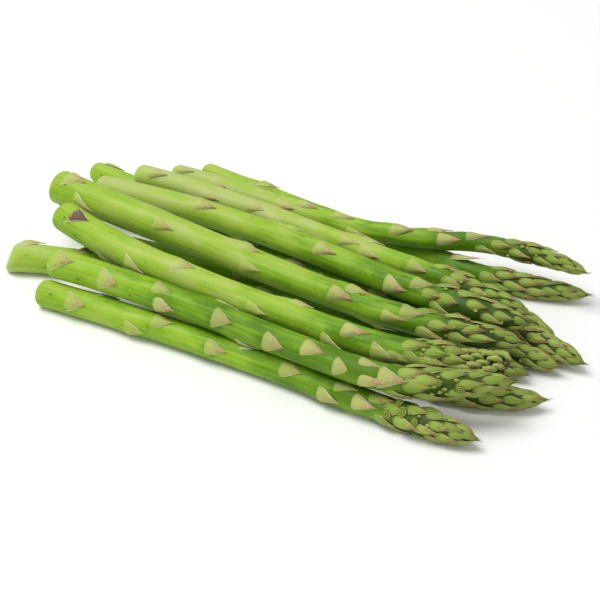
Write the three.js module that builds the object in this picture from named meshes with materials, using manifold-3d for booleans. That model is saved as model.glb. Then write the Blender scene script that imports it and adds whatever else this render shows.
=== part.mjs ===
// A loose bundle of thirteen green asparagus spears, lying down.
// Millimetres, +Z up, +X from the cut ends towards the tips, resting on z = 0.
// Each spear is one solid: a tapered stem, its scale leaves and its scaly head.
import * as THREE from 'three';
import { mergeVertices } from 'three/addons/utils/BufferGeometryUtils.js';
import Module from 'manifold-3d';

const wasm = await Module();
wasm.setup();

// Driving dimensions
const middle = [-5.5, 1.6]; // plan point of the layout below that becomes the origin
const airGap = 0.9; // between two bare stems where one rests on the other
const leafGap = 0.3; // half of what is left between the leaves of two spears
const floorSink = 0.25; // how much of the lowest spears is pressed flat on the floor
const sides = 10; // faces round a spear, and so 5 scales to each whorl of a head
const stemSteps = 7;
const whorls = 8; // rows of scales on a head
const headShape = { swell: 0.14, power: 5, taper: 0.7 }; // wider in its first half, blunt near the tip
const cutBevel = 1.2; // rounded rim of the cut end
const goldenAngle = 137.5; // degrees between one scale and the next
const nearSide = { angle: -52, spread: 88 }; // degrees, the side whose scales are listed

// Finish: colours run from pale at the cut end to a deeper green, these are their means.
const stemGreens = { bright: 0x9cc04a, deep: 0x7fa63c, pale: 0xb4c96a };
const stemRoughness = 0.42;

// butt and aim: plan points of the cut end and of the point that the stem heads for.
// bow, sway: sideways bend of the stem, one arc and one S; nod: sideways bend of the head.
// thick: diameter at the cut end and below the head; head: its length.
// floor: lies on the floor, while the rest settle on the spears listed before them.
// slant: how far the cut leans; turn, hand: start angle and sense of the scales' spiral.
// seen: scales placed one by one, [distance from the cut end, degrees round the stem, 0 on top].
// listed: the near side has only the scales in seen; curls: the head is broken open.
const spears = [
  { name: 'spear_low_left', butt: [-120, -46], aim: [123, -9], bow: -6.5, sway: 11.5, nod: -7.5,
    thick: [13, 10], head: 48, floor: true, slant: 5, turn: 40, hand: 1, green: 'deep',
    seen: [[34, 35]] },
  { name: 'spear_front', butt: [-92, -60], aim: [113.5, -61.5], bow: 6, sway: -0.5, nod: 7.5,
    thick: [12, 10.6], head: 42, floor: true, slant: 0.6, turn: 200, hand: -1, green: 'bright', listed: true,
    seen: [[20, -60], [49, -100], [61, -25], [88, -65], [102, 15], [123, -30], [142, -92], [148, -15],
      [158, -65]] },
  { name: 'spear_under_left', butt: [-101.5, -15], aim: [119, 5.5], bow: 5.5, sway: -0.5, nod: 1,
    thick: [10.8, 9.5], head: 48, floor: true, slant: 1, turn: 10, hand: 1, green: 'deep',
    seen: [[77, -45], [145, -145]] },
  { name: 'spear_under_mid', butt: [-43, -17], aim: [110.5, -6.5], bow: 1.5, sway: -1.5, nod: 2,
    thick: [10.5, 9], head: 46, floor: true, slant: 0.8, turn: 120, hand: -1, green: 'deep', seen: [] },
  { name: 'spear_hidden_back', butt: [-137, 37.5], aim: [108, 46.5], bow: -9, sway: 0.5, nod: -23,
    thick: [9.6, 9], head: 50, floor: true, slant: 0.8, turn: 75, hand: 1, green: 'deep', seen: [] },
  { name: 'spear_behind', butt: [-93.5, 65], aim: [105, 48], bow: -1, sway: 0, nod: 14,
    thick: [8.8, 8.8], head: 48, floor: true, slant: 0.8, turn: 160, hand: -1, green: 'deep',
    seen: [[32, -45], [142, 5]] },
  { name: 'spear_long_low', butt: [-113.5, 20], aim: [124.5, 38], bow: -15, sway: 3.5, nod: -25,
    thick: [11, 10.4], head: 50, floor: true, slant: 1, turn: 310, hand: 1, green: 'deep',
    seen: [[103, -40], [144, -55], [183, -60]] },
  { name: 'spear_second', butt: [-90, -53], aim: [116, -53], bow: 0.5, sway: 2, nod: 24.5,
    thick: [12.8, 11], head: 45, slant: 0.8, turn: 20, hand: 1, green: 'bright', listed: true,
    seen: [[7, -40], [30.5, -60], [56, -25], [59, -90], [87.5, -50], [113, -70], [130.5, -35], [146, -60],
      [155, -15], [157, -82], [164, -55]] },
  { name: 'spear_pale', butt: [-111.5, 7], aim: [102, 5.5], bow: 7, sway: 2.5, nod: 6,
    thick: [12, 11], head: 46, slant: 1.2, turn: 250, hand: -1, green: 'pale', listed: true,
    seen: [[54, -25], [117, -35], [154, -75], [165, -15]] },
  { name: 'spear_slim', butt: [-107, 31], aim: [98, 30.5], bow: -2.5, sway: 3, nod: -11,
    thick: [9.6, 9.4], head: 48, slant: 0.8, turn: 140, hand: -1, green: 'pale', listed: true,
    seen: [[12, -30], [41, -65], [66, -35], [78, -70], [116, -35], [126, -65], [150, -45]] },
  { name: 'spear_curled', butt: [-105, -26.5], aim: [104.5, -38.5], bow: -6, sway: -2.5, nod: 16.5,
    thick: [13.2, 11.4], head: 36, slant: 1.2, turn: 90, hand: 1, green: 'bright', listed: true, curls: true,
    seen: [[14, -20], [50, -100], [72, -10], [111, -80], [127, 35], [146, -95], [154, -25], [167, -85]] },
  { name: 'spear_thick', butt: [-119, -11.5], aim: [105, -9.5], bow: -3.5, sway: 1, nod: 10,
    thick: [15.4, 10.8], head: 45, slant: 1.4, turn: 180, hand: 1, green: 'bright', listed: true,
    seen: [[10.5, -5], [19, -85], [60.5, -45], [101, 10], [105.5, -75], [148, -40], [153.5, 10], [172, -60],
      [178.5, -15]] },
  { name: 'spear_top', butt: [-103, 54], aim: [95, 102.5], bow: -31.5, sway: 8, nod: -47.5,
    thick: [9.8, 7.8], head: 46, slant: 0.8, turn: 30, hand: -1, green: 'bright', listed: true,
    seen: [[7, -25], [26, -60], [62, -60], [72, 5], [91, -10], [99, -95], [119, -25], [135, 30],
      [140, -50], [152, -15]] },
];

const radians = (degrees) => degrees * Math.PI / 180;
const mix = THREE.MathUtils.lerp;
const clamp = THREE.MathUtils.clamp;

// A repeatable random value from 0 to 1 for a scale's number on a spear.
function chance(number, seed) {
  const value = Math.sin(number * 12.9898 + seed * 78.233) * 43758.5453;
  return value - Math.floor(value);
}

// Where a spear runs

const samples = 60;

function planPoint(spear, t) {
  const along = [spear.aim[0] - spear.butt[0], spear.aim[1] - spear.butt[1]];
  const bend = spear.bow * 4 * t * (1 - t) + spear.sway * 10.4 * t * (1 - t) * (1 - 2 * t);
  const side = bend + spear.nod * clamp((t - 0.7) / 0.3, 0, 1) ** 2;
  return [
    spear.butt[0] + along[0] * t - along[1] / spear.reach * side,
    spear.butt[1] + along[1] * t + along[0] / spear.reach * side,
  ];
}

// Half the thickness of the stem, and of the head with its scales, at t from 0 to 1.
function outsideRadius(spear, t) {
  const neck = 1 - spear.head / spear.reach;
  if (t < neck) {
    return mix(spear.thick[0], spear.thick[1], t / neck) / 2;
  }
  const k = clamp((t - neck) / (1 - neck), 0, 1);
  const swell = 1 + headShape.swell * Math.sin(Math.PI * Math.min(k * 1.6, 1));
  const narrowing = Math.max(1 - k ** headShape.power, 0) ** headShape.taper;
  return Math.max(spear.thick[1] / 2 * swell * narrowing, 1);
}

// Lowest straight line over the floor and the spears below, as a lying stick comes to rest:
// of all slopes, the one that puts the point of balance lowest.
function settle(spear, below) {
  const need = spear.track.map((here) => {
    let lowest = here.radius;
    for (const other of below) {
      for (const there of other.track) {
        const reach = here.radius + there.radius + airGap;
        const apart = (here.plan[0] - there.plan[0]) ** 2 + (here.plan[1] - there.plan[1]) ** 2;
        if (apart < reach ** 2) {
          lowest = Math.max(lowest, there.height + Math.sqrt(reach ** 2 - apart));
        }
      }
    }
    return lowest;
  });
  const balance = 0.45;
  const startHeight = (rise) => Math.max(...need.map((height, i) => height - rise * i / samples));
  let low = -80;
  let high = 80;
  for (let pass = 0; pass < 80; pass += 1) {
    const third = (high - low) / 3;
    const lower = startHeight(low + third) + (low + third) * balance;
    const upper = startHeight(high - third) + (high - third) * balance;
    if (lower < upper) {
      high -= third;
    } else {
      low += third;
    }
  }
  const rise = (low + high) / 2;
  return { start: startHeight(rise), rise };
}

spears.forEach((spear, index) => {
  spear.reach = Math.hypot(spear.aim[0] - spear.butt[0], spear.aim[1] - spear.butt[1]);
  spear.track = Array.from({ length: samples + 1 }, (_, i) => (
    { plan: planPoint(spear, i / samples), radius: outsideRadius(spear, i / samples) }
  ));
  const line = settle(spear, spear.floor ? [] : spears.slice(0, index));
  spear.track.forEach((here, i) => {
    here.height = line.start + line.rise * i / samples - (spear.floor ? floorSink : 0);
    here.point = new THREE.Vector3(here.plan[0] - middle[0], here.plan[1] - middle[1], here.height);
  });
});

// Point and directions of a spear at a distance from its cut end: ahead, left and up.
function frameAt(spear, distance) {
  const place = clamp(distance / spear.reach, -0.02, 1.02) * samples;
  const i = clamp(Math.floor(place), 0, samples - 1);
  const start = spear.track[i].point;
  const end = spear.track[i + 1].point;
  const ahead = end.clone().sub(spear.track[Math.max(i - 1, 0)].point).normalize();
  const nextAhead = spear.track[Math.min(i + 2, samples)].point.clone().sub(start).normalize();
  ahead.lerp(nextAhead, clamp(place - i, 0, 1)).normalize();
  const left = new THREE.Vector3(-ahead.y, ahead.x, 0).normalize();
  const up = ahead.clone().cross(left);
  return { point: start.clone().lerp(end, place - i), ahead, left, up };
}

// Keeping spears clear of each other

// How far a point is outside a spear's bare outline, and the nearest point of its centre line.
function outsideOf(spear, point) {
  let gap = Infinity;
  let axis = null;
  const toStart = new THREE.Vector3();
  const run = new THREE.Vector3();
  for (let i = 0; i < samples; i += 1) {
    const start = spear.track[i];
    const end = spear.track[i + 1];
    run.subVectors(end.point, start.point);
    const share = clamp(toStart.subVectors(point, start.point).dot(run) / run.lengthSq(), 0, 1);
    const away = toStart.addScaledVector(run, -share).length() - mix(start.radius, end.radius, share);
    if (away < gap) {
      gap = away;
      axis = start.point.clone().addScaledVector(run, share);
    }
  }
  return { gap, axis };
}

// Presses a point of a spear back to that spear's side of what lies next to it.
function keepOwnSide(spear, point) {
  const passes = 4;
  for (let pass = 0; pass < passes; pass += 1) {
    const own = outsideOf(spear, point);
    let nearest = Infinity;
    for (const other of spears) {
      if (other !== spear) {
        nearest = Math.min(nearest, outsideOf(other, point).gap);
      }
    }
    const excess = own.gap - (nearest - leafGap);
    if (excess <= 0) {
      return point;
    }
    point.lerp(own.axis, clamp(excess * 0.6 / Math.max(point.distanceTo(own.axis), 0.1), 0, 0.9));
  }
  return point;
}

// Closed meshes as solids that can be joined and cut

function toSolid(geometry) {
  geometry.deleteAttribute('normal');
  geometry.deleteAttribute('uv');
  const merged = mergeVertices(geometry, 1e-4);
  return new wasm.Manifold(new wasm.Mesh({
    numProp: 3,
    vertProperties: new Float32Array(merged.attributes.position.array),
    triVerts: new Uint32Array(merged.index.array),
  }));
}

function toGeometry(solid) {
  const mesh = solid.getMesh();
  const geometry = new THREE.BufferGeometry();
  geometry.setAttribute('position', new THREE.BufferAttribute(mesh.vertProperties, 3));
  geometry.setIndex(new THREE.BufferAttribute(mesh.triVerts, 1));
  geometry.computeVertexNormals();
  return geometry;
}

function moveVertices(geometry, place) {
  const position = geometry.attributes.position;
  const point = new THREE.Vector3();
  for (let i = 0; i < position.count; i += 1) {
    const moved = place(point.fromBufferAttribute(position, i), i);
    position.setXYZ(i, moved.x, moved.y, moved.z);
  }
  return geometry;
}

// Rings of a stem, from the cut end to the neck: one distance and radius all round.
function stemRings(spear) {
  const headStart = spear.reach - spear.head;
  const rounded = 1 / Math.cos(Math.PI / sides);
  const rings = [() => ({ distance: 0, radius: spear.thick[0] / 2 - cutBevel })];
  for (let step = 0; step <= stemSteps; step += 1) {
    const distance = mix(cutBevel, headStart - 4, step / stemSteps);
    const radius = outsideRadius(spear, distance / spear.reach) * rounded;
    rings.push(() => ({ distance, radius }));
  }
  return rings;
}

// Rings of a head: each whorl of pointed scales is a base tucked under the whorl before,
// a swollen middle and a rim that runs out into tips between notches.
function headRings(spear, seed) {
  const start = spear.reach - spear.head - 3;
  const length = spear.curls ? spear.head * 0.6 : spear.head + 2;
  const tipAt = (whorl) => start + length * (1 - (1 - (whorl + 1) / whorls) ** 1.2);
  const skin = (distance) => outsideRadius(spear, Math.min(distance / spear.reach, 0.995));
  const rings = [];
  for (let whorl = 0; whorl < whorls; whorl += 1) {
    const tip = tipAt(whorl);
    const lastTip = tipAt(whorl - 1);
    const notch = lastTip + (tip - lastTip) * 0.15;
    const draw = (column) => chance(column + whorl * sides, seed) - 0.5;
    const isTip = (column) => (column + whorl) % 2 === 0;
    const tuck = Math.min(0.9, skin(lastTip) * 0.2);
    const from = whorl === 0 ? start - 1.5 : notch - (tip - lastTip) * 0.8;
    rings.push((column) => {
      const distance = isTip(column) ? from : lastTip - 0.5;
      return { distance, radius: skin(distance) * 0.97 - tuck };
    });
    rings.push((column) => {
      const distance = isTip(column) ? mix(from, tip, 0.5) : lastTip + 0.4;
      return { distance, radius: skin(distance) * (isTip(column) ? 1.04 : 0.86) };
    });
    rings.push((column) => {
      const distance = isTip(column) ? tip + draw(column) : notch + 0.4;
      return { distance, radius: skin(distance) * (isTip(column) ? 1.01 : 0.9) + draw(column) * 0.3 };
    });
  }
  return rings;
}

// Stem and head in one skin: turned on a lathe, its rings set out, then bent to the spear's line.
function coreSolid(spear, seed) {
  const rings = [...stemRings(spear), ...headRings(spear, seed)];
  const profile = rings.map((_, ring) => new THREE.Vector2(1, ring + 1));
  profile.unshift(new THREE.Vector2(0, 0));
  profile.push(new THREE.Vector2(0, rings.length + 1));
  const turned = new THREE.LatheGeometry(profile, sides, Math.PI / sides);
  const tipDistance = spear.curls ? spear.reach - spear.head * 0.36 : spear.reach;
  return toSolid(moveVertices(turned, (point, index) => {
    const ring = index % profile.length - 1;
    const column = Math.floor(index / profile.length) % sides;
    let place = { distance: ring < 0 ? 0 : tipDistance, radius: 0 };
    if (ring >= 0 && ring < rings.length) {
      place = rings[ring](column);
    }
    const lean = spear.slant * point.z * place.radius / spear.thick[0] * Math.max(1 - place.distance / 12, 0);
    const frame = frameAt(spear, place.distance - lean);
    const placed = frame.point.clone()
      .addScaledVector(frame.left, point.x * place.radius)
      .addScaledVector(frame.up, -point.z * place.radius);
    return ring < stemSteps ? placed : keepOwnSide(spear, placed);
  }));
}

// A scale leaf: a pointed shield with a raised keel and a broad sunk root.
// Rows run from the base to the tip: share of length, of half width, and height of the keel.
const leafRows = [
  { along: 0, half: 0, keel: -0.8 },
  { along: 0.28, half: 1, keel: 1 },
  { along: 0.68, half: 0.62, keel: 0.9 },
  { along: 1, half: 0, keel: 0.4 },
];
const leafSides = 4;

function leafSolid(spear, leaf) {
  const rowCount = leafRows.length - 1;
  const ball = new THREE.SphereGeometry(1, leafSides, rowCount);
  return toSolid(moveVertices(ball, (point) => {
    const row = Math.round(Math.acos(clamp(point.y, -1, 1)) / Math.PI * rowCount);
    const shape = leafRows[row];
    const isPole = row === 0 || row === rowCount;
    const across = isPole ? 0 : Math.round(point.x * 2) / 2;
    const out = isPole ? 1 : Math.round(point.z * 2) / 2;
    const distance = leaf.distance + leaf.length * shape.along;
    const bare = outsideRadius(spear, distance / spear.reach);
    let height = shape.keel * leaf.rise + leaf.lift * shape.along;
    if (Math.abs(across) > 0.4) {
      height = leaf.edge + leaf.lift * shape.along;
    } else if (out < 0) {
      height = -leaf.root;
    }
    const angle = radians(leaf.angle) + Math.sign(Math.round(across * 2)) * leaf.width / 2 * shape.half / bare;
    const frame = frameAt(spear, distance);
    const away = Math.max(bare + height, 0.3);
    const placed = frame.point.clone()
      .addScaledVector(frame.up, Math.cos(angle) * away)
      .addScaledVector(frame.left, Math.sin(angle) * away);
    return keepOwnSide(spear, placed);
  }));
}

const turnBetween = (a, b) => Math.abs(((a - b) % 360 + 540) % 360 - 180);

// Scale leaves of the stem: those that are listed, and a spiral of others where none is listed.
function stemLeaves(spear, seed) {
  const headStart = spear.reach - spear.head;
  const places = spear.seen.map(([distance, angle]) => ({ middle: distance, angle }));
  let distance = 9;
  for (let number = 0; distance < headStart - 3; number += 1) {
    const angle = spear.turn + spear.hand * goldenAngle * number + 24 * (chance(number, seed) - 0.5);
    const isNear = turnBetween(angle, nearSide.angle) < nearSide.spread;
    const isTaken = spear.seen.some(([taken, at]) => (
      Math.abs(taken - distance) < 14 && turnBetween(at, angle) < 75
    ));
    if (!(spear.listed && isNear) && !isTaken) {
      places.push({ middle: distance, angle });
    }
    distance += mix(27, 11.5, distance / headStart) * (0.85 + 0.3 * chance(number, seed + 50));
  }
  return places.map(({ middle: at, angle }) => {
    const t = clamp(at / headStart, 0, 1);
    const length = mix(10, 14, t);
    return {
      distance: at - length / 2,
      angle,
      length,
      width: outsideRadius(spear, at / spear.reach) * mix(1.45, 1.6, t),
      rise: 1.4,
      edge: 0.25,
      root: 1.6,
      lift: 0.2,
    };
  });
}

// Budding side shoots of the broken head: short fingers that curl over.
const curls = { count: 7, apart: 2, length: 14, thick: 3.4, steps: 5, sides: 5 };

function curlSolid(spear, number) {
  const ball = new THREE.SphereGeometry(1, curls.sides, curls.steps);
  const angle = radians(spear.turn + goldenAngle * number);
  const start = spear.reach - spear.head * 0.62 + number * curls.apart;
  const frame = frameAt(spear, start);
  const outward = frame.up.clone().multiplyScalar(Math.cos(angle)).addScaledVector(frame.left, Math.sin(angle));
  const across = frame.ahead.clone().cross(outward);
  return toSolid(moveVertices(ball, (point) => {
    const share = (1 - point.y) / 2;
    const bend = share * 2.1;
    const ahead = Math.sin(bend) / 2.1 * curls.length;
    const out = 2.4 + (1 - Math.cos(bend)) / 2.1 * curls.length * 0.35;
    const placed = frame.point.clone()
      .addScaledVector(frame.ahead, ahead + point.z * curls.thick / 2 * 0.4)
      .addScaledVector(outward, out + point.z * curls.thick / 2)
      .addScaledVector(across, point.x * curls.thick / 2);
    return keepOwnSide(spear, placed);
  }));
}

// Joins a spear's pieces, cuts it level with the floor and drops loose scraps.
function spearSolid(spear, seed) {
  let solid = coreSolid(spear, seed);
  for (const leaf of stemLeaves(spear, seed)) {
    solid = solid.add(leafSolid(spear, leaf));
  }
  for (let number = 0; spear.curls && number < curls.count; number += 1) {
    solid = solid.add(curlSolid(spear, number));
  }
  const floorDepth = 20;
  const floor = new THREE.BoxGeometry(400, 300, floorDepth).translate(0, 0, -floorDepth / 2);
  const bodies = solid.subtract(toSolid(floor)).decompose();
  bodies.sort((a, b) => b.volume() - a.volume());
  return bodies[0];
}

const bundle = new THREE.Group();
spears.forEach((spear, index) => {
  const material = new THREE.MeshStandardMaterial({
    color: stemGreens[spear.green], roughness: stemRoughness, metalness: 0,
  });
  const mesh = new THREE.Mesh(toGeometry(spearSolid(spear, index + 1)), material);
  mesh.name = spear.name;
  bundle.add(mesh);
});

export default bundle;
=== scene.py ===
import math

import bmesh
import bpy
import numpy as np
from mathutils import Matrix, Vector


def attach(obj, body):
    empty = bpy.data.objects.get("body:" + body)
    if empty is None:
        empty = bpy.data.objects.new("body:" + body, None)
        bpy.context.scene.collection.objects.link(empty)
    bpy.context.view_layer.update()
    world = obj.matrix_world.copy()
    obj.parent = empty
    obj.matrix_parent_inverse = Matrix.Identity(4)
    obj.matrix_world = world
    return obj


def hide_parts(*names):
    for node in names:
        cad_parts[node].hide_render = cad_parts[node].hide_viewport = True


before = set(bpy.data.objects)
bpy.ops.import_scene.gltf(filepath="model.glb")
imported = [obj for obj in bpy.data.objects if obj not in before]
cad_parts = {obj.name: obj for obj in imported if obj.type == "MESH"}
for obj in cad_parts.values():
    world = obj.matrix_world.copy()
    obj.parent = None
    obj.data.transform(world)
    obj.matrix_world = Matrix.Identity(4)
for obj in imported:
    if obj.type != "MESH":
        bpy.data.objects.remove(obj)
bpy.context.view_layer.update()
print("frame loaded")

mm = 0.001

# Camera, light and floor

look = {
    "azimuth": 32.0,
    "elevation": 33.0,
    "distance": 850.0,  # mm, from the point looked at
    "target": (5.5, -1.6, 0.0),
    "lens": 120.0,
    "sensor": 36.0,
    "clip": (0.05, 20.0),  # m
    "floorSize": 4.0,  # m
    "floorColor": (0.93, 0.93, 0.92, 1.0),
    "floorRoughness": 0.9,
    "floorGloss": 0.1,
    "keyLight": (300, 66, 2.2, 1.5),  # azimuth, elevation, metres away, metres across
    "keyPower": 35.5,
    "fillLight": (30, 35, 1.5, 1.2),
    "fillPower": 1.5,
    "skyLevel": 0.5,
}


def viewDirection(azimuth, elevation):
    a, e = math.radians(azimuth), math.radians(elevation)
    return Vector((math.sin(a) * math.cos(e), -math.cos(a) * math.cos(e), math.sin(e)))


def makeCamera():
    data = bpy.data.cameras.new("camera")
    data.lens = look["lens"]
    data.sensor_width = look["sensor"]
    data.clip_start, data.clip_end = look["clip"]
    camera = bpy.data.objects.new("camera", data)
    bpy.context.collection.objects.link(camera)
    back = viewDirection(look["azimuth"], look["elevation"])
    target = Vector(look["target"]) * mm
    camera.location = target + back * look["distance"] * mm
    camera.rotation_euler = (-back).to_track_quat("-Z", "Y").to_euler()
    bpy.context.scene.camera = camera


def makeLight(name, azimuth, elevation, distance, size, power):
    data = bpy.data.lights.new(name, "AREA")
    data.shape = "DISK"
    data.size = size
    data.energy = power
    light = bpy.data.objects.new(name, data)
    bpy.context.collection.objects.link(light)
    direction = viewDirection(azimuth, elevation)
    light.location = direction * distance
    light.rotation_euler = (-direction).to_track_quat("-Z", "Y").to_euler()


def makeFloor():
    mesh = bmesh.new()
    bmesh.ops.create_grid(mesh, x_segments=1, y_segments=1, size=look["floorSize"])
    data = bpy.data.meshes.new("floor")
    mesh.to_mesh(data)
    mesh.free()
    floor = bpy.data.objects.new("floor", data)
    bpy.context.collection.objects.link(floor)
    material = bpy.data.materials.new("paleFloor")
    material.use_nodes = True
    shader = material.node_tree.nodes["Principled BSDF"]
    shader.inputs["Base Color"].default_value = look["floorColor"]
    shader.inputs["Roughness"].default_value = look["floorRoughness"]
    shader.inputs["Specular IOR Level"].default_value = look["floorGloss"]
    data.materials.append(material)


def makeSky():
    world = bpy.data.worlds.new("softRoom")
    world.use_nodes = True
    background = world.node_tree.nodes["Background"]
    background.inputs["Color"].default_value = (1.0, 1.0, 1.0, 1.0)
    background.inputs["Strength"].default_value = look["skyLevel"]
    bpy.context.scene.world = world
    bpy.context.scene.view_settings.view_transform = "Standard"


makeCamera()
makeSky()
makeFloor()
makeLight("keyLight", *look["keyLight"], look["keyPower"])
makeLight("fillLight", *look["fillLight"], look["fillPower"])
print("camera, light and floor made")

# Where the spears run: the same layout as the solids, in millimetres

layout = {
    "middle": (-5.5, 1.6),  # plan point that becomes the origin
    "airGap": 0.9,  # between two bare stems where one rests on the other
    "leafGap": 0.3,
    "floorSink": 0.25,
    "samples": 60,
    "fineSamples": 280,
    "skip": 6,  # fine samples, where neighbours are looked for
    "nearRoom": 9,
    "sway": 10.4,
    "nodFrom": 0.7,  # of the reach
    "nodOver": 0.3,
    "balance": 0.45,  # of the reach, where the weight acts
    "steepest": 80.0,
    "settleRounds": 80,
    "stepAhead": 1.5,
    "pressRounds": 4,
    "pressShare": 0.6,
    "pressMost": 0.9,
    "goldenAngle": 137.5,
    "nearAngle": -52,  # the side that the camera sees
    "nearSpread": 88,
}
headForm = {
    "swell": 0.14,
    "swellRate": 1.6,
    "blunt": 5,
    "round": 0.7,
    "least": 1,
}

lowLeft = {"name": "spear_low_left", "butt": (-120, -46), "aim": (123, -9), "bow": -6.5, "sway": 11.5,
           "nod": -7.5, "thick": (13, 10), "head": 48, "floor": True, "slant": 5, "turn": 40, "hand": 1,
           "green": "deep", "seen": [(34, 35)]}
front = {"name": "spear_front", "butt": (-92, -60), "aim": (113.5, -61.5), "bow": 6, "sway": -0.5, "nod": 7.5,
         "thick": (12, 10.6), "head": 42, "floor": True, "slant": 0.6, "turn": 200, "hand": -1,
         "green": "bright", "listed": True,
         "seen": [(20, -60), (49, -100), (61, -25), (88, -65), (102, 15), (123, -30), (142, -92), (148, -15),
                  (158, -65)]}
underLeft = {"name": "spear_under_left", "butt": (-101.5, -15), "aim": (119, 5.5), "bow": 5.5, "sway": -0.5,
             "nod": 1, "thick": (10.8, 9.5), "head": 48, "floor": True, "slant": 1, "turn": 10, "hand": 1,
             "green": "deep", "seen": [(77, -45), (145, -145)]}
underMid = {"name": "spear_under_mid", "butt": (-43, -17), "aim": (110.5, -6.5), "bow": 1.5, "sway": -1.5,
            "nod": 2, "thick": (10.5, 9), "head": 46, "floor": True, "slant": 0.8, "turn": 120, "hand": -1,
            "green": "deep", "seen": []}
hiddenBack = {"name": "spear_hidden_back", "butt": (-137, 37.5), "aim": (108, 46.5), "bow": -9, "sway": 0.5,
              "nod": -23, "thick": (9.6, 9), "head": 50, "floor": True, "slant": 0.8, "turn": 75, "hand": 1,
              "green": "deep", "seen": []}
behind = {"name": "spear_behind", "butt": (-93.5, 65), "aim": (105, 48), "bow": -1, "sway": 0, "nod": 14,
          "thick": (8.8, 8.8), "head": 48, "floor": True, "slant": 0.8, "turn": 160, "hand": -1,
          "green": "deep", "seen": [(32, -45), (142, 5)]}
longLow = {"name": "spear_long_low", "butt": (-113.5, 20), "aim": (124.5, 38), "bow": -15, "sway": 3.5,
           "nod": -25, "thick": (11, 10.4), "head": 50, "floor": True, "slant": 1, "turn": 310, "hand": 1,
           "green": "deep", "seen": [(103, -40), (144, -55), (183, -60)]}
second = {"name": "spear_second", "butt": (-90, -53), "aim": (116, -53), "bow": 0.5, "sway": 2, "nod": 24.5,
          "thick": (12.8, 11), "head": 45, "slant": 0.8, "turn": 20, "hand": 1, "green": "bright",
          "listed": True,
          "seen": [(7, -40), (30.5, -60), (56, -25), (59, -90), (87.5, -50), (113, -70), (130.5, -35),
                   (146, -60), (155, -15), (157, -82), (164, -55)]}
pale = {"name": "spear_pale", "butt": (-111.5, 7), "aim": (102, 5.5), "bow": 7, "sway": 2.5, "nod": 6,
        "thick": (12, 11), "head": 46, "slant": 1.2, "turn": 250, "hand": -1, "green": "pale", "listed": True,
        "seen": [(54, -25), (117, -35), (154, -75), (165, -15)]}
slim = {"name": "spear_slim", "butt": (-107, 31), "aim": (98, 30.5), "bow": -2.5, "sway": 3, "nod": -11,
        "thick": (9.6, 9.4), "head": 48, "slant": 0.8, "turn": 140, "hand": -1, "green": "pale",
        "listed": True,
        "seen": [(12, -30), (41, -65), (66, -35), (78, -70), (116, -35), (126, -65), (150, -45)]}
curled = {"name": "spear_curled", "butt": (-105, -26.5), "aim": (104.5, -38.5), "bow": -6, "sway": -2.5,
          "nod": 16.5, "thick": (13.2, 11.4), "head": 36, "slant": 1.2, "turn": 90, "hand": 1,
          "green": "bright", "listed": True, "curls": True,
          "seen": [(14, -20), (50, -100), (72, -10), (111, -80), (127, 35), (146, -95), (154, -25),
                   (167, -85)]}
thick = {"name": "spear_thick", "butt": (-119, -11.5), "aim": (105, -9.5), "bow": -3.5, "sway": 1, "nod": 10,
         "thick": (15.4, 10.8), "head": 45, "slant": 1.4, "turn": 180, "hand": 1, "green": "bright",
         "listed": True,
         "seen": [(10.5, -5), (19, -85), (60.5, -45), (101, 10), (105.5, -75), (148, -40), (153.5, 10),
                  (172, -60), (178.5, -15)]}
top = {"name": "spear_top", "butt": (-103, 54), "aim": (95, 102.5), "bow": -31.5, "sway": 8, "nod": -47.5,
       "thick": (9.8, 7.8), "head": 46, "slant": 0.8, "turn": 30, "hand": -1, "green": "bright",
       "listed": True,
       "seen": [(7, -25), (26, -60), (62, -60), (72, 5), (91, -10), (99, -95), (119, -25), (135, 30),
                (140, -50), (152, -15)]}
spears = [lowLeft, front, underLeft, underMid, hiddenBack, behind, longLow, second, pale, slim, curled,
          thick, top]


def chance(number, seed):
    value = math.sin(number * 12.9898 + seed * 78.233) * 43758.5453
    return value - math.floor(value)


def ease(value, low=0.0, high=1.0):
    share = np.clip((np.asarray(value, float) - low) / (high - low), 0.0, 1.0)
    return share * share * (3.0 - 2.0 * share)


def mix(low, high, share):
    return low + (high - low) * share


def vary(span, draw):
    least, more = span
    return least + more * draw


def planPoint(spear, t):
    butt, aim = np.array(spear["butt"], float), np.array(spear["aim"], float)
    run = aim - butt
    sway = spear["sway"] * layout["sway"] * t * (1 - t) * (1 - 2 * t)
    nod = spear["nod"] * np.clip((t - layout["nodFrom"]) / layout["nodOver"], 0, 1) ** 2
    side = spear["bow"] * 4 * t * (1 - t) + sway + nod
    across = np.array((-run[1], run[0])) / spear["reach"]
    return butt + run * t[:, None] + across * side[:, None]


def outsideRadius(spear, distance):
    t = np.asarray(distance, float) / spear["reach"]
    neck = 1 - spear["head"] / spear["reach"]
    stemHalf = mix(spear["thick"][0], spear["thick"][1], np.minimum(t, neck) / neck) / 2
    share = np.clip((t - neck) / (1 - neck), 0, 1)
    swell = 1 + headForm["swell"] * np.sin(math.pi * np.minimum(share * headForm["swellRate"], 1))
    taper = (1 - share ** headForm["blunt"]) ** headForm["round"]
    headHalf = np.maximum(spear["thick"][1] / 2 * swell * taper, headForm["least"])
    return np.where(t < neck, stemHalf, headHalf)


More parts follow.
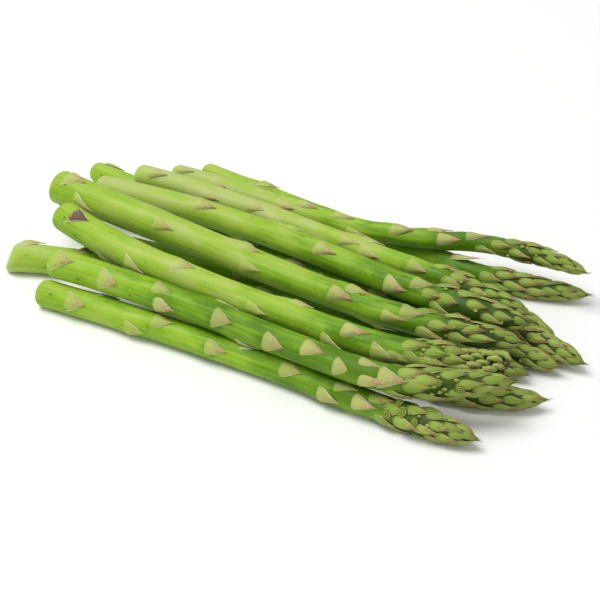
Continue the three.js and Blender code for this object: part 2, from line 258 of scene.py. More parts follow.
def settle(spear, below):
    need = spear["radius"].copy()
    for other in below:
        reach = spear["radius"][:, None] + other["radius"][None] + layout["airGap"]
        apart = ((spear["plan"][:, None] - other["plan"][None]) ** 2).sum(-1)
        lift = other["height"][None] + np.sqrt(np.clip(reach ** 2 - apart, 0, None))
        need = np.maximum(need, np.where(apart < reach ** 2, lift, 0).max(1))
    t = np.linspace(0, 1, layout["samples"] + 1)
    low, high = -layout["steepest"], layout["steepest"]
    for _ in range(layout["settleRounds"]):
        third = (high - low) / 3
        lower = (need - (low + third) * t).max() + (low + third) * layout["balance"]
        upper = (need - (high - third) * t).max() + (high - third) * layout["balance"]
        if lower < upper:
            high -= third
        else:
            low += third
    rise = (low + high) / 2
    return (need - rise * t).max(), rise


def centre(spear, distance):
    t = np.asarray(distance, float) / spear["reach"]
    plan = planPoint(spear, t) - np.array(layout["middle"])
    return np.column_stack([plan, spear["start"] + spear["rise"] * t])


def frameAt(spear, distance):
    step = layout["stepAhead"]
    ahead = centre(spear, distance + step) - centre(spear, distance - step)
    ahead /= np.linalg.norm(ahead, axis=1)[:, None]
    left = np.column_stack([-ahead[:, 1], ahead[:, 0], np.zeros(len(ahead))])
    left /= np.linalg.norm(left, axis=1)[:, None]
    return centre(spear, distance), left, np.cross(ahead, left)


def layOut():
    for index, spear in enumerate(spears):
        reach = math.dist(spear["butt"], spear["aim"])
        spear["reach"], spear["seed"] = reach, index + 1
        t = np.linspace(0, 1, layout["samples"] + 1)
        spear["plan"] = planPoint(spear, t)
        spear["radius"] = outsideRadius(spear, t * reach)
        start, spear["rise"] = settle(spear, [] if spear.get("floor") else spears[:index])
        spear["start"] = start - (layout["floorSink"] if spear.get("floor") else 0)
        spear["height"] = spear["start"] + spear["rise"] * t
        fine = np.linspace(0, reach, layout["fineSamples"] + 1)
        spear["axis"], spear["axisRadius"] = centre(spear, fine), outsideRadius(spear, fine)
    findNeighbours(layout["skip"])


def findNeighbours(skip):
    for spear in spears:
        spear["near"] = []
        for other in spears:
            apart = np.linalg.norm(spear["axis"][::skip, None] - other["axis"][None, ::skip], axis=2)
            room = apart - spear["axisRadius"][::skip, None] - other["axisRadius"][None, ::skip]
            if other is not spear and room.min() < layout["nearRoom"]:
                spear["near"].append(other)


def outsideOf(spear, points):
    axis = spear["axis"].astype(np.float32)
    apart = (points ** 2).sum(1)[:, None] + (axis ** 2).sum(1)[None] - 2 * points @ axis.T
    nearest = apart.argmin(1)
    away = np.linalg.norm(points - spear["axis"][nearest], axis=1)
    return away - spear["axisRadius"][nearest], spear["axis"][nearest]


def keepOwnSide(spear, points):
    points = points.astype(np.float32)
    for _ in range(layout["pressRounds"]):
        own, axis = outsideOf(spear, points)
        room = np.full(len(points), 1e6)
        for other in spear["near"]:
            room = np.minimum(room, outsideOf(other, points)[0])
        excess = np.clip(own - (room - layout["leafGap"]), 0, None)
        if excess.max() <= 0:
            break
        span = np.maximum(np.linalg.norm(points - axis, axis=1), 0.1)
        pull = np.clip(excess * layout["pressShare"] / span, 0, layout["pressMost"])[:, None]
        points = (points + (axis - points) * pull).astype(np.float32)
    return points


layOut()
print("layout settled")

# Patches are grids and balls made by bmesh. Each point is kept in the spear's own space: distance
# from the cut end, angle round the centre line (0 is up, 90 degrees is left) and radius

kinds = {"skin": 0, "leaf": 1, "headLeaf": 2, "bud": 3}
# shade is painted shade: how far a point is darkened towards a dark olive in crevices and deep in the head
masks = ("across", "toTip", "draw", "tone", "shade")


def newPatches():
    return {"mesh": bmesh.new(), "place": [], "kind": [], "mask": []}


def gridPoints(patches, across, along):
    made = bmesh.ops.create_grid(patches["mesh"], x_segments=across, y_segments=along, size=1.0)["verts"]
    flat = np.array([vert.co[:2] for vert in made])
    return flat[:, 0], (flat[:, 1] + 1) / 2


def ballPoints(patches, fineness):
    made = bmesh.ops.create_icosphere(patches["mesh"], subdivisions=fineness, radius=1.0)["verts"]
    return np.array([vert.co[:] for vert in made])


def keepPatch(patches, spear, kind, distance, angle, radius, across=0.0, toTip=0.0, draw=0.5, shade=0.0):
    count = len(distance)
    patches["place"].append(np.column_stack([distance, angle, radius]))
    patches["kind"].append(np.full(count, kinds[kind]))
    values = (across, toTip, draw, toneAt(spear, distance), shade)
    columns = [np.broadcast_to(np.asarray(value, float), count) for value in values]
    patches["mask"].append(np.column_stack(columns))


# How green each spear is at its cut end, middle and neck: 0 is pale lime, 1 is deep green

toneStops = {
    "middle": 0.45,  # of the bare stem
    "top": 0.95,
    "pastNeck": 8,
}
spearTones = {
    "spear_low_left": (0.12, 0.7, 1.0),
    "spear_front": (0.42, 0.54, 0.9),
    "spear_under_left": (0.2, 0.75, 0.95),
    "spear_under_mid": (0.6, 0.9, 1.0),
    "spear_hidden_back": (0.35, 0.7, 1.0),
    "spear_behind": (0.25, 0.6, 0.85),
    "spear_long_low": (0.35, 0.85, 0.95),
    "spear_second": (0.3, 0.84, 0.95),
    "spear_pale": (0.02, 0.34, 0.8),
    "spear_curled": (0.46, 0.2, 0.78),
    "spear_slim": (0.06, 0.04, 0.5),
    "spear_thick": (0.42, 0.22, 0.72),
    "spear_top": (0.0, 0.28, 0.98),
}


def toneAt(spear, distance):
    neck = spear["reach"] - spear["head"]
    butt, middle, top = spearTones[spear["name"]]
    stops = [0, neck * toneStops["middle"], neck * toneStops["top"], neck + toneStops["pastNeck"]]
    return np.interp(distance, stops, [butt, middle, top, 1.0])


# Stem: one closed skin from the cut end to the core of the head

stem = {
    "sides": 44,
    "rows": 156,
    "bevel": 3.0,
    "cutRows": 3,
    "bevelRows": 5,
    "core": 0.87,  # of the head's outside
    "coreBlend": 9,
    "curlEnd": 0.4,  # of the head, where a broken one stops
    "endGap": 1.5,
    "endTaper": 5,
    "swell": 1.0,  # height of the node under each scale
    "swellFull": 70,  # from the cut end to where nodes are that high
    "swellAhead": 2,
    "swellLong": 5,
    "swellWide": 48,  # degrees
    "phase": 1.7,
    "oval": 0.018,
    "ovalTwist": 0.03,
    "wave": 0.006,
    "waveRate": 0.11,
    "leanEnd": 12,
    # coreShade and shadeSpan give painted shade: the skin of the head's core is darkened where it lies deep
    # between the scales
    "coreShade": 0.85,
    "shadeSpan": (8, 18),  # past the neck
}


def stemProfile(spear):
    end = spear["reach"] - (spear["head"] * stem["curlEnd"] if spear.get("curls") else stem["endGap"])
    neck = spear["reach"] - spear["head"]
    full = spear["thick"][0] / 2
    inner = np.linspace(0, 1, stem["cutRows"] + 1)
    turn = np.linspace(0, math.pi / 2, stem["bevelRows"] + 1)[1:]
    rest = stem["rows"] - stem["cutRows"] - stem["bevelRows"]
    distance = np.linspace(stem["bevel"], end, rest + 1)[1:]
    share = mix(1, stem["core"], ease(distance, neck, neck + stem["coreBlend"]))
    radius = outsideRadius(spear, distance) * share
    radius *= np.sqrt(np.clip((end - distance) / stem["endTaper"], 0, 1))
    distances = np.concatenate([inner * 0, stem["bevel"] * (1 - np.cos(turn)), distance])
    bevel = full - stem["bevel"] * (1 - np.sin(turn))
    return distances, np.concatenate([inner * (full - stem["bevel"]), bevel, radius])


def addStem(patches, spear, leaves):
    around, along = gridPoints(patches, stem["sides"], stem["rows"])
    distances, radii = stemProfile(spear)
    row = np.round(along * stem["rows"]).astype(int)
    distance, radius, angle = distances[row], radii[row].copy(), around * math.pi
    phase = spear["seed"] * stem["phase"]
    ripple = np.cos(2 * angle + phase) + 0.5 * np.sin(3 * angle + distance * stem["ovalTwist"] + phase)
    radius *= 1 + stem["oval"] * ripple + stem["wave"] * np.sin(distance * stem["waveRate"] + phase)
    isSide = row > stem["cutRows"] + stem["bevelRows"]
    for scale in leaves:
        turn = (angle - math.radians(scale["angle"]) + math.pi) % (2 * math.pi) - math.pi
        ahead = distance - scale["distance"] - stem["swellAhead"]
        near = np.exp(-(ahead / stem["swellLong"]) ** 2)
        height = stem["swell"] * min(max(scale["distance"], 0) / stem["swellFull"], 1)
        radius += isSide * height * near * np.exp(-(turn / math.radians(stem["swellWide"])) ** 2)
    lean = spear["slant"] * np.cos(angle) * radius / spear["thick"][0]
    distance = distance + lean * np.clip(1 - distance / stem["leanEnd"], 0, None)
    isCut = np.where(row <= stem["cutRows"] + 1, 1.0, 0.0)
    neck = spear["reach"] - spear["head"]
    # painted shade: the core skin darkens from 8 to 18 mm past the neck, among the head's crevices
    darkFrom, darkTo = stem["shadeSpan"]
    shade = stem["coreShade"] * ease(distance, neck + darkFrom, neck + darkTo)
    keepPatch(patches, spear, "skin", distance, angle, radius, across=isCut, shade=shade)


# What the scales of stem and head share: u runs from -1 to 1 across a scale, v from 0 at its root
# to 1 at its tip

scaleForm = {
    "baseWide": (0.93, 0.07),
    "pointed": 1.4,
    "ridge": 2.1,
    "edgePower": 3,
    "closeRoot": 0.1,
    "closeTip": 0.12,
    "tears": (17, 41, 9),
    "lastRadius": 0.992,  # of the reach
    "liftPower": 1.6,
    "leastTurn": 1.6,
    "leastOut": 0.15,
    "closeBy": 0.8,
    "closeFrom": 4.5,  # before the end of the reach
    "pastEnd": 0.6,
    # painted shade on head scales: parts lying below this share of the outside radius are darkened, fully
    # over the next span
    "paintedShadeFrom": 0.95,  # of the outside radius
    "paintedShadeOver": 0.11,
}


def scaleHalf(toTip, shoulder, fullness):
    wide = vary(scaleForm["baseWide"], np.sin(math.pi / 2 * np.clip(toTip / shoulder, 0, 1)))
    rest = np.clip((toTip - shoulder) / (1 - shoulder), 0, 1)
    return wide * (1 - rest) ** scaleForm["pointed"] * (1 + fullness * rest)


def closing(spear, distance):
    start, end = spear["reach"] - scaleForm["closeFrom"], spear["reach"] + scaleForm["pastEnd"]
    return 1 - scaleForm["closeBy"] * ease(distance, start, end)


def thinToEdge(deep, u, v):
    inside = 1 - np.abs(u) ** scaleForm["edgePower"]
    return deep * inside * ease(v, 0, scaleForm["closeRoot"]) * ease(1 - v, 0, scaleForm["closeTip"])


def addScale(patches, spear, scale, kind, topOf, bottomOf):
    coarse, fine, shift = scaleForm["tears"]
    for side in (topOf, bottomOf):
        u, v = gridPoints(patches, scale["columns"], scale["rows"])
        bow = scale["baseBow"] * u ** 2 * (1 - v)
        skewed = scale["skew"] * u * v * (1 - v) * scale["width"]
        distance = scale["distance"] + scale["length"] * v + bow + skewed
        bare = outsideRadius(spear, np.minimum(distance, spear["reach"] * scaleForm["lastRadius"]))
        torn = scale["ragged"] * np.sin(v * coarse + scale["angle"])
        ragged = 1 + torn * np.sin(v * fine + scale["draw"] * shift) * v
        half = scale["width"] / 2 * scaleHalf(v, scale["shoulder"], scale["fullness"]) * ragged
        sideways = (u * half + scale["lean"] * v ** 2) / np.maximum(bare, scaleForm["leastTurn"])
        angle = math.radians(scale["angle"]) + sideways
        radius = side(u, v, bare)
        # painted shade on head scales, deeper the lower a part lies between its neighbours
        isHead = kind == "headLeaf"
        shade = ease(scaleForm["paintedShadeFrom"] - radius / bare, 0, scaleForm["paintedShadeOver"]) if isHead else 0
        radius = radius * closing(spear, distance) + scale["lift"] * v ** scaleForm["liftPower"]
        radius = np.maximum(radius, scaleForm["leastOut"])
        keepPatch(patches, spear, kind, distance, angle, radius, np.abs(u), v, scale["draw"], shade)


# Scale leaves of the stem: pointed shields that grow out of a swollen node

leaf = {
    "across": 10,
    "along": 14,
    "sunk": 0.7,
    "rise": 1.45,
    "riseBy": 0.34,
    "dropFrom": 0.4,
    "tipRise": 0.6,
    "edge": 0.22,
    "edgeBy": 0.22,
    "thick": 0.42,
    "sheetSpan": (0.42, 0.6),
    "length": (12.5, 14.5),  # near the cut end and near the head
    "lengthDraw": (0.92, 0.16),
    "width": (1.45, 1.6),  # of the stem's radius
    "widthDraw": (1.0, 0.26),
    "lift": 0.15,
    "lean": 2.2,
    "skew": 0.3,
    "baseBow": 0.45,
    "shoulder": 0.1,
    "fullness": (0.15, 1.0),
    "ragged": 0.09,
    "first": 9.0,
    "beforeHead": 3,
    "spacing": (27, 11.5),
    "spacingDraw": (0.85, 0.3),
    "strayTurn": 24,
    "taken": (14, 75),  # mm along and degrees round from a leaf read from the photo
}


def stemTop(u, v, bare):
    drop = (leaf["rise"] - leaf["tipRise"]) * ease(v, leaf["dropFrom"], 1)
    middle = mix(-leaf["sunk"], leaf["rise"], ease(v, 0, leaf["riseBy"])) - drop
    edge = mix(-leaf["sunk"], leaf["edge"], ease(v, 0, leaf["edgeBy"]))
    return bare + mix(middle, edge, np.abs(u) ** scaleForm["ridge"])


def stemBottom(u, v, bare):
    top = stemTop(u, v, bare)
    deep = mix(top - bare + leaf["sunk"], leaf["thick"], ease(v, *leaf["sheetSpan"]))
    return top - thinToEdge(deep, u, v)


def turnBetween(first, last):
    return abs(((first - last) % 360 + 540) % 360 - 180)


def isClose(distance, angle, places, limits):
    return any(abs(at - distance) < limits[0] and turnBetween(turned, angle) < limits[1]
               for at, turned in places)


purpleScales = {"spear_low_left": 34, "spear_curled": 14}
purpleDraw = 2.0  # above every chance, so that the colour group can tell it
looseScales = {
    ("spear_behind", 142): {"length": 22, "lift": 4.5, "width": 5},
    ("spear_front", 142): {"lift": 1.4},
    ("spear_top", 119): {"lift": 0.9},
    ("spear_curled", 146): {"lift": 1.2},
    ("spear_second", 157): {"lift": 1.0},
}


def stemLeaves(spear):
    headStart = spear["reach"] - spear["head"]
    places = list(spear["seen"])
    distance, number, seed = leaf["first"], 0, spear["seed"]
    while distance < headStart - leaf["beforeHead"]:
        draw = chance(number, seed) - 0.5
        angle = spear["turn"] + spear["hand"] * layout["goldenAngle"] * number + leaf["strayTurn"] * draw
        isNear = turnBetween(angle, layout["nearAngle"]) < layout["nearSpread"]
        isTaken = isClose(distance, angle, spear["seen"], leaf["taken"])
        if not (spear.get("listed") and isNear) and not isTaken:
            places.append((distance, angle))
        step = mix(*leaf["spacing"], distance / headStart)
        distance += step * vary(leaf["spacingDraw"], chance(number, seed + 50))
        number += 1
    leaves = []
    for number, (middle, angle) in enumerate(places):
        share = min(max(middle / headStart, 0), 1)
        draw = chance(number + 3, seed + 20)
        length = mix(*leaf["length"], share) * vary(leaf["lengthDraw"], draw)
        width = float(outsideRadius(spear, middle)) * mix(*leaf["width"], share)
        leaves.append({
            "distance": middle - length / 2,
            "angle": angle,
            "length": length,
            "width": width * vary(leaf["widthDraw"], chance(number, seed + 31)),
            "lift": leaf["lift"],
            "lean": leaf["lean"] * (chance(number, seed + 8) - 0.5),
            "skew": leaf["skew"] * (draw - 0.5),
            "draw": purpleDraw if purpleScales.get(spear["name"]) == middle else draw,
            "baseBow": leaf["baseBow"],
            "shoulder": leaf["shoulder"],
            "fullness": vary(leaf["fullness"], chance(number, seed + 77)),
            "ragged": leaf["ragged"],
            "columns": leaf["across"],
            "rows": leaf["along"],
        })
        leaves[-1].update(looseScales.get((spear["name"], middle), {}))
    return leaves


# Head: boat-shaped scales on a tightening spiral round the core

head = {
    "across": 8,
    "along": 12,
    "spacing": (1.9, 0.7),
    "spacingPower": 0.6,
    "spacingDraw": (0.85, 0.3),
    "length": (15.5, 10.5),  # at the neck and at the tip
    "lengthDraw": (0.9, 0.2),
    "width": (9.0, 4.2),
    "widthPower": 0.8,
    "widthDraw": (0.9, 0.2),
    "usualThick": 11,
    "root": 0.8,  # of the outside radius
    "belly": 1.13,
    "bellyAt": 0.62,
    "bendFrom": 0.7,
    "tip": 1.07,
    "edge": 0.94,
    "edgeAt": 0.7,
    "edgeSunk": 0.03,
    "rib": 0.016,
    "ribRate": 11,
    "ribSpan": (0.1, 0.4),
    "ribEnd": 0.3,
    "thick": 0.55,
    "early": 2,  # before the neck
    "endGap": 5,
    "curlEnd": 0.5,  # of the head, where a broken one stops
    "firstTurn": 60,
    "strayTurn": 16,
    "ahead": 4,
    "taken": (5.5, 42),  # mm along and degrees round from a scale read from the photo
    "lift": 0.8,
    "liftLess": 0.7,
    "lean": 1.2,
    "skew": 0.4,
    "baseBow": 0.6,
    "shoulder": 0.3,
    "fullness": 0.8,
    "ragged": 0.08,
}
rosettes = {
    "spear_front": [(169, -62, 2.3), (175, -38, 2.2), (172, 0, 1.8), (181, -60, 1.6)],
    "spear_second": [(188, -80, 1.8), (181, -50, 1.5)],
}
headSeen = {
    "spear_thick": [(186, -95), (191, -50), (198, -25), (199, -85), (203.5, -30), (207.5, -70)],
    "spear_curled": [(171, -85), (177, -20), (185, -75), (186, -35), (193, -50), (195, -90)],
    "spear_second": [(172.5, -75), (170.5, -20), (176.5, -45)],
    "spear_front": [(162, -15), (170, -40), (176, -85), (179, -10)],
    "spear_pale": [(178, -50), (184.5, 15), (190.5, -30), (197.5, -80), (202, -50), (207, 35)],
    "spear_slim": [(159, 25), (169, 35), (167, -60), (170, -15)],
    "spear_top": [(155, -100), (163, -50), (169, -5), (172, -80)],
}


def headTop(u, v, bare):
    drop = (head["belly"] - head["tip"]) * ease(v, head["bendFrom"], 1)
    middle = mix(head["root"], head["belly"], ease(v, 0, head["bellyAt"])) - drop
    edge = mix(head["root"] - head["edgeSunk"], head["edge"], ease(v, 0, head["edgeAt"]))
    ribs = head["rib"] * np.cos(u * head["ribRate"]) * ease(v, *head["ribSpan"])
    ribs = ribs * ease(1 - v, 0, head["ribEnd"])
    return bare * (mix(middle, edge, np.abs(u) ** scaleForm["ridge"]) + ribs)


def headBottom(u, v, bare):
    return headTop(u, v, bare) - thinToEdge(head["thick"], u, v)


def headPlaces(spear):
    start, seed = spear["reach"] - spear["head"] - head["early"], spear["seed"]
    end = spear["reach"] - (spear["head"] * head["curlEnd"] if spear.get("curls") else head["endGap"])
    seen = headSeen.get(spear["name"], [])
    places = list(seen)
    distance, number = start, 0
    while distance < end:
        share = (distance - start) / (spear["head"] + head["early"])
        angle = spear["turn"] + head["firstTurn"] + spear["hand"] * layout["goldenAngle"] * number
        angle += head["strayTurn"] * (chance(number, seed + 5) - 0.5)
        if not isClose(distance + head["ahead"], angle, seen, head["taken"]):
            places.append((distance + head["ahead"], angle))
        step = mix(*head["spacing"], share ** head["spacingPower"])
        distance += step * vary(head["spacingDraw"], chance(number, seed + 61))
        number += 1
    return sorted(places)


def addHead(patches, spear):
    start, seed = spear["reach"] - spear["head"], spear["seed"]
    for number, (middle, angle) in enumerate(headPlaces(spear)):
        share = min(max((middle - start) / spear["head"], 0), 1)
        draw = chance(number + 11, seed + 20)
        size = spear["thick"][1] / head["usualThick"]
        length = mix(*head["length"], share) * vary(head["lengthDraw"], draw)
        length = min(length, spear["reach"] + scaleForm["pastEnd"] - middle + length / 2)
        width = mix(*head["width"], share ** head["widthPower"]) * size
        scale = {
            "distance": middle - length / 2,
            "angle": angle,
            "length": length,
            "width": width * vary(head["widthDraw"], chance(number, seed + 32)),
            "lift": head["lift"] * chance(number, seed + 40) * (1 - head["liftLess"] * share),
            "lean": head["lean"] * (chance(number, seed + 9) - 0.5),
            "skew": head["skew"] * (draw - 0.5),
            "draw": draw,
            "baseBow": head["baseBow"],
            "shoulder": head["shoulder"],
            "fullness": head["fullness"],
            "ragged": head["ragged"],
            "columns": head["across"],
            "rows": head["along"],
        }
        addScale(patches, spear, scale, "headLeaf", headTop, headBottom)


# Buds between the scales, and rosettes: flat ones with rings like a closed flower

bud = {
    "count": 22,
    "fineness": 2,
    "start": 8,  # past the neck
    "share": 0.6,  # of the head
    "curledShare": 0.25,
    "size": (0.5, 0.4),
    "long": 1.4,
    "sunk": 0.93,  # of the outside radius
    # shadeSpan: painted shade over the inner side of each bud
    "shadeSpan": (-0.5, 0.3),
    "leastTurn": 1.5,
    "rings": 16,
    "ringHigh": 0.2,
    "ringFineness": 4,
    "rosetteSunk": 0.94,
    "rosetteHigh": 0.6,
    "rosetteDraw": 0.2,
}


def addBud(patches, spear, distance, angle, radius, size, draw, rings=0):
    ball = ballPoints(patches, bud["ringFineness"] if rings else bud["fineness"])
    across = ball[:, 0] * size[0]
    along = ball[:, 1] * size[1]
    whirl = np.cos(rings * np.hypot(ball[:, 0], ball[:, 1]) + np.arctan2(ball[:, 0], ball[:, 1]))
    out = ball[:, 2] * size[2] * (1 + (bud["ringHigh"] * whirl if rings else 0))
    turned = angle + across / max(radius, bud["leastTurn"])
    # painted shade: buds darken on their inner side, rosettes in the grooves between their rings
    shade = ease(-whirl, 0, 1) if rings else ease(-ball[:, 2], *bud["shadeSpan"])
    toTip = (ball[:, 1] + 1) / 2
    keepPatch(patches, spear, "bud", distance + along, turned, radius + out, 0, toTip, draw, shade)


def addBuds(patches, spear):
    seed = spear["seed"]
    stretch = spear["head"] * (bud["curledShare"] if spear.get("curls") else bud["share"])
    for number in range(bud["count"]):
        distance = spear["reach"] - spear["head"] + bud["start"] + stretch * chance(number, seed + 70)
        angle = 2 * math.pi * chance(number, seed + 71)
        wide = vary(bud["size"], chance(number, seed + 72))
        radius = float(outsideRadius(spear, distance)) * bud["sunk"]
        size = (wide, wide * bud["long"], wide)
        addBud(patches, spear, distance, angle, radius, size, chance(number, seed + 73))
    for distance, turned, wide in rosettes.get(spear["name"], []):
        radius = float(outsideRadius(spear, distance)) * bud["rosetteSunk"]
        angle, size = math.radians(turned), (wide, wide, wide * bud["rosetteHigh"])
        addBud(patches, spear, distance, angle, radius, size, bud["rosetteDraw"], bud["rings"])


# Broken head: short side shoots that curl over, with knobs along each

curl = {
    "count": 34,
    "first": 17.5,  # before the end of the reach
    "apart": 0.45,
    "length": 9.5,
    "thick": 2.4,
    "sides": 12,
    "rows": 22,
    "lengthDraw": (0.75, 0.4),
    "thickDraw": (0.8, 0.35),
    "turnFrom": 0.25,
    "turnTo": 3.5,
    "out": 2.7,
    "knobs": 4,
    "knobHigh": 0.14,
    "stray": 1.2,
    # painted shade on the curled shoots: darker the closer they lie to the middle of the head
    "shadeFrom": 0.78,
    "shadeOver": 0.4,
    "clear": 7,  # mm out from the middle of the head, where no shade is left
    "tipSpan": (0.15, 0.75),
}


def addCurls(patches, spear):
    for number in range(curl["count"]):
        around, along = gridPoints(patches, curl["sides"], curl["rows"])
        draw = chance(number, spear["seed"] + 90)
        angle = math.radians(spear["turn"] + layout["goldenAngle"] * number)
        start = spear["reach"] - curl["first"] + number * curl["apart"]
        length = curl["length"] * vary(curl["lengthDraw"], draw)
        turn = around * math.pi
        knob = 1 + curl["knobHigh"] * np.cos(2 * math.pi * (along * curl["knobs"] + turn / math.pi))
        size = curl["thick"] / 2 * vary(curl["thickDraw"], draw) * np.sin(math.pi * along) ** 0.5 * knob
        speed = (curl["turnTo"] - curl["turnFrom"]) / length
        heading = curl["turnFrom"] + (curl["turnTo"] - curl["turnFrom"]) * along
        ahead = (math.cos(curl["turnFrom"]) - np.cos(heading)) / speed - size * np.cos(turn) * np.cos(heading)
        out = curl["out"] + (np.sin(heading) - math.sin(curl["turnFrom"])) / speed
        out = out + size * np.cos(turn) * np.sin(heading)
        side = size * np.sin(turn) + curl["stray"] * (draw - 0.5) * along
        radius, turned = np.hypot(side, out), angle + np.arctan2(side, out)
        # painted shade in the crevices of the broken head
        shade = ease(curl["shadeFrom"] - radius / curl["clear"], 0, curl["shadeOver"])
        across, toTip = np.abs(np.cos(turn)), vary(curl["tipSpan"], along)
        keepPatch(patches, spear, "bud", start + ahead, turned, radius, across, toTip, draw, shade)


# One mesh for each spear, bent to its line and pressed clear of its neighbours

joining = {
    "lowest": 0.05,
    "weld": 2e-6,  # m
    "sharp": 55,  # degrees
}


def bendPatches(spear, patches):
    place = np.concatenate(patches["place"])
    middle, left, up = frameAt(spear, place[:, 0])
    out = place[:, 2:] * (np.sin(place[:, 1:2]) * left + np.cos(place[:, 1:2]) * up)
    points = keepOwnSide(spear, middle + out)
    points[:, 2] = np.maximum(points[:, 2], joining["lowest"])
    return points * mm, place


def meshFrom(spear, patches):
    name = spear["name"]
    data = bpy.data.meshes.new(name)
    patches["mesh"].to_mesh(data)
    patches["mesh"].free()
    points, place = bendPatches(spear, patches)
    data.vertices.foreach_set("co", points.astype(np.float32).ravel())
    corners = np.zeros(len(data.loops), dtype=np.int32)
    data.loops.foreach_get("vertex_index", corners)
    span = spear["thick"][0] / 2
    flat = np.column_stack([place[:, 1] * span, place[:, 0]])[corners]
    data.uv_layers.new(name="skinMap").data.foreach_set("uv", flat.astype(np.float32).ravel())
    starts = np.zeros(len(data.polygons), dtype=np.int32)
    data.polygons.foreach_get("loop_start", starts)
    kind = np.concatenate(patches["kind"])[corners[starts]]
    data.polygons.foreach_set("material_index", kind.astype(np.int32))
    mask = np.concatenate(patches["mask"])
    for column, title in enumerate(masks):
        values = data.attributes.new(title, "FLOAT", "POINT")
        values.data.foreach_set("value", mask[:, column].astype(np.float32))
    joined = bmesh.new()
    joined.from_mesh(data)
    bmesh.ops.remove_doubles(joined, verts=joined.verts, dist=joining["weld"])
    bmesh.ops.recalc_face_normals(joined, faces=joined.faces)
    joined.to_mesh(data)
    joined.free()
    data.shade_smooth()
    data.set_sharp_from_angle(angle=math.radians(joining["sharp"]))
    return data


def makeSpear(spear, materials):
    patches = newPatches()
    leaves = stemLeaves(spear)
    addStem(patches, spear, leaves)
    for scale in leaves:
        addScale(patches, spear, scale, "leaf", stemTop, stemBottom)
    addHead(patches, spear)
    addBuds(patches, spear)
    if spear.get("curls"):
        addCurls(patches, spear)
    data = meshFrom(spear, patches)
    for material in materials:
        data.materials.append(material)
    thing = bpy.data.objects.new(spear["name"] + "_look", data)
    bpy.context.collection.objects.link(thing)
    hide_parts(spear["name"])
    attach(thing, "root")
    return len(data.polygons)


# Materials

greens = [
    (0.0, (0.45, 0.53, 0.17, 1)),
    (0.25, (0.37, 0.525, 0.06, 1)),
    (0.5, (0.275, 0.47, 0.026, 1)),
    (0.75, (0.16, 0.33, 0.01, 1)),
    (1.0, (0.085, 0.2, 0.004, 1)),
]

# Each noise is a detail and what one millimetre across and along the spear counts for. Each span is
# from a low to a high value, and where it has four numbers, what those become

skinMarks = {
    "streak": (3, (0.7, 0.014)),
    "patch": (4, (0.11, 0.045)),
    "pores": (2, (0.42, 0.2)),
    "streakSpan": (0.3, 0.7, -0.12, 0.12),
    "patchSpan": (0.32, 0.68, -0.17, 0.17),
    "poreSpan": (0.62, 0.76, 0, 0.6),
    "poreWhere": (0.4, 0.6),
    # painted shade: where the shade mask is high the skin is mixed towards a dark olive, in the head's
    # crevices and core
    "paintedShadeSpan": (0, 1, 0, 0.85),
    "paintedShadeColor": (0.03, 0.055, 0.006, 1),
    "cutSpan": (0.3, 0.9),
    "cutColor": (0.55, 0.58, 0.3, 1),
    "relief": (3, (2.2, 0.045)),
    "reliefDeep": 0.0005,  # m
    "gloss": 0.2,
}
scaleMarks = {
    "speckle": (3, (1.2, 0.5)),
    "speckleSpan": (0.3, 0.7, -0.16, 0.16),
    "paleHigh": (0.25, 0.8, 0.62, 1.0),
    "paleRise": (0.06, 0.36),
    "paleDraw": (0.0, 1.0, 0.62, 1.0),
    "blushRise": (0.5, 1.0),
    "blushDraw": (0.0, 0.8, 0.3, 1.0),
    "purpleDraw": (1.4, 1.9),
    "purpleRise": (0.05, 0.5, 0, 0.9),
    "purpleColor": (0.13, 0.05, 0.06, 1),
    "rimEdge": (0.84, 0.97),
    "rimRise": (0.04, 0.16, 0, 0.8),
    # painted shade on scales and buds: dark olive mixed in where the shade mask is high
    "paintedShadeColor": (0.045, 0.06, 0.01, 1),
}


def newGroup(name, inputs, outputs):
    tree = bpy.data.node_groups.new(name, "ShaderNodeTree")
    for title, kind, value in inputs:
        socket = tree.interface.new_socket(title, in_out="INPUT", socket_type=kind)
        socket.default_value = value
    for title, kind in outputs:
        tree.interface.new_socket(title, in_out="OUTPUT", socket_type=kind)
    return tree, tree.nodes.new("NodeGroupInput"), tree.nodes.new("NodeGroupOutput")


def attribute(tree, name):
    node = tree.nodes.new("ShaderNodeAttribute")
    node.attribute_name = name
    return node.outputs["Fac"]


def spread(tree, value, low, high, toLow=0.0, toHigh=1.0):
    node = tree.nodes.new("ShaderNodeMapRange")
    node.interpolation_type = "SMOOTHSTEP"
    for title, setting in (("From Min", low), ("From Max", high), ("To Min", toLow), ("To Max", toHigh)):
        node.inputs[title].default_value = setting
    tree.links.new(value, node.inputs["Value"])
    return node.outputs["Result"]


def combine(tree, operation, first, last):
    node = tree.nodes.new("ShaderNodeMath")
    node.operation = operation
    for socket, value in zip(node.inputs, (first, last)):
        if isinstance(value, (int, float)):
            socket.default_value = value
        else:
            tree.links.new(value, socket)
    return node.outputs[0]


def blend(tree, share, first, last, kind="MIX"):
    node = tree.nodes.new("ShaderNodeMix")
    node.data_type = "RGBA"
    node.blend_type = kind
    for socket, value in zip((node.inputs[0], node.inputs[6], node.inputs[7]), (share, first, last)):
        if isinstance(value, (int, float, tuple)):
            socket.default_value = value
        else:
            tree.links.new(value, socket)
    return node.outputs[2]


def noise(tree, detail, squash):
    place = tree.nodes.new("ShaderNodeUVMap")
    place.uv_map = "skinMap"
    mapping = tree.nodes.new("ShaderNodeMapping")
    mapping.inputs["Scale"].default_value = (squash[0], squash[1], 1)
    node = tree.nodes.new("ShaderNodeTexNoise")
    node.inputs["Scale"].default_value = 1.0
    node.inputs["Detail"].default_value = detail
    tree.links.new(place.outputs["UV"], mapping.inputs["Vector"])
    tree.links.new(mapping.outputs["Vector"], node.inputs["Vector"])
    return node.outputs["Fac"]


